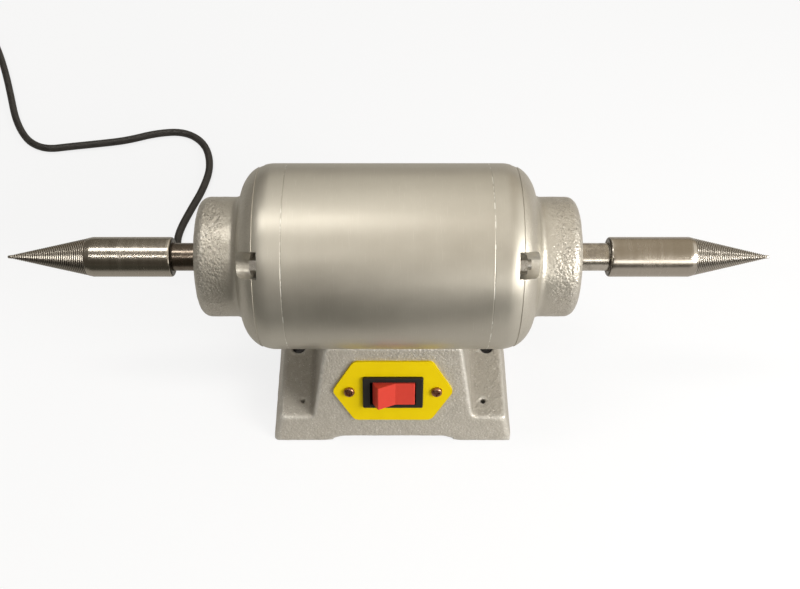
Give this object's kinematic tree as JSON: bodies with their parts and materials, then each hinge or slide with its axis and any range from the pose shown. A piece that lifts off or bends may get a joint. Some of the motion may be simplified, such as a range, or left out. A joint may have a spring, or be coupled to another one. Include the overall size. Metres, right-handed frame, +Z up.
{
  "type": "dental polishing lathe",
  "caption": "Bench polishing motor with a tapered spindle on each end of its shaft, on a cast base with a rocker switch.",
  "frame": {"origin": "on the bench under the middle of the motor", "axes": "+X along the shaft to the right, -Y towards the user and the switch, +Z up"},
  "size_m": [0.578, 0.4427, 0.137],
  "materials": {
    "hammertone_paint": "rough silver hammertone paint",
    "silver_lacquer": "smooth silver lacquer",
    "ground_steel": "bright ground",
    "zinc_screws": "zinc plated",
    "copper_screws": "copper brown plated",
    "bearing_steel": "polished",
    "cage_brass": "stamped",
    "lamination_steel": "stacked laminations",
    "cast_aluminium": "cast",
    "enamelled_copper": "enamelled winding",
    "felt": "pressed felt",
    "yellow_plastic": "gloss",
    "black_plastic": "satin",
    "red_plastic": "satin gloss",
    "black_rubber": "soft matte",
    "wire_sleeve": "insulated wire",
    "contact_brass": "plain",
    "capacitor_case": "moulded",
    "plated_sheet": "zinc plated sheet"
  },
  "bodies": {
    "base": {"base_casting": "hammertone_paint", "bearing_outer_ring_left": "bearing_steel", "bearing_outer_ring_right": "bearing_steel", "bottom_cover": "plated_sheet", "capacitor": "capacitor_case", "capacitor_strap": "plated_sheet", "capacitor_strap_screws": "zinc_screws", "capacitor_wires": "wire_sleeve", "coil_tie": "black_plastic", "cord_coil": "black_rubber", "cord_tail": "black_rubber", "cover_screws": "zinc_screws", "earth_screw": "zinc_screws", "earth_wire": "wire_sleeve", "end_shield_left": "hammertone_paint", "end_shield_right": "hammertone_paint", "felt_ring_left": "felt", "felt_ring_right": "felt", "inner_cord": "black_rubber", "lead_grommet": "black_rubber", "motor_barrel": "silver_lacquer", "motor_bolts": "zinc_screws", "motor_lead": "black_rubber", "plug_body": "black_plastic", "plug_pins": "contact_brass", "power_cord": "black_rubber", "stator_core": "lamination_steel", "stator_winding": "enamelled_copper", "strain_relief": "black_rubber", "switch_housing": "black_plastic", "switch_plate": "yellow_plastic", "switch_plate_screws": "copper_screws", "switch_terminals": "contact_brass", "switch_wires": "wire_sleeve", "terminal_block": "black_plastic", "terminal_screws": "zinc_screws", "through_bolt_nuts": "zinc_screws", "through_bolts": "zinc_screws", "wave_washer": "bearing_steel"},
    "rotor": {"motor_shaft": "ground_steel", "rotor_core": "lamination_steel", "rotor_cage": "cast_aluminium", "bearing_inner_ring_left": "bearing_steel", "bearing_inner_ring_right": "bearing_steel", "spindle_left": "ground_steel", "spindle_right": "ground_steel", "spindle_set_screws": "zinc_screws"},
    "left_bearing_balls": {"bearing_balls_left": "bearing_steel", "bearing_ball_cage_left": "cage_brass"},
    "right_bearing_balls": {"bearing_balls_right": "bearing_steel", "bearing_ball_cage_right": "cage_brass"},
    "rocker_body": {"rocker": "red_plastic"}
  },
  "joints": [
    {"name": "shaft_spin", "type": "hinge", "parent": "base", "child": "rotor", "pos_m": [0, 0, 0.0905], "axis": [1, 0, 0], "continuous": true},
    {"name": "left_balls_spin", "type": "hinge", "parent": "base", "child": "left_bearing_balls", "pos_m": [-0.0838, 0, 0.0905], "axis": [1, 0, 0], "continuous": true},
    {"name": "right_balls_spin", "type": "hinge", "parent": "base", "child": "right_bearing_balls", "pos_m": [0.0832, 0, 0.0905], "axis": [1, 0, 0], "continuous": true},
    {"name": "rocker_tilt", "type": "hinge", "parent": "base", "child": "rocker_body", "pos_m": [0.0026, -0.04181, 0.03219], "axis": [0, -0.3746, -0.9272], "range_deg": [0, 28]}
  ],
  "couplings": [
    {"joint": "left_balls_spin", "follows": "shaft_spin", "ratio": 0.384},
    {"joint": "right_balls_spin", "follows": "shaft_spin", "ratio": 0.384}
  ]
}
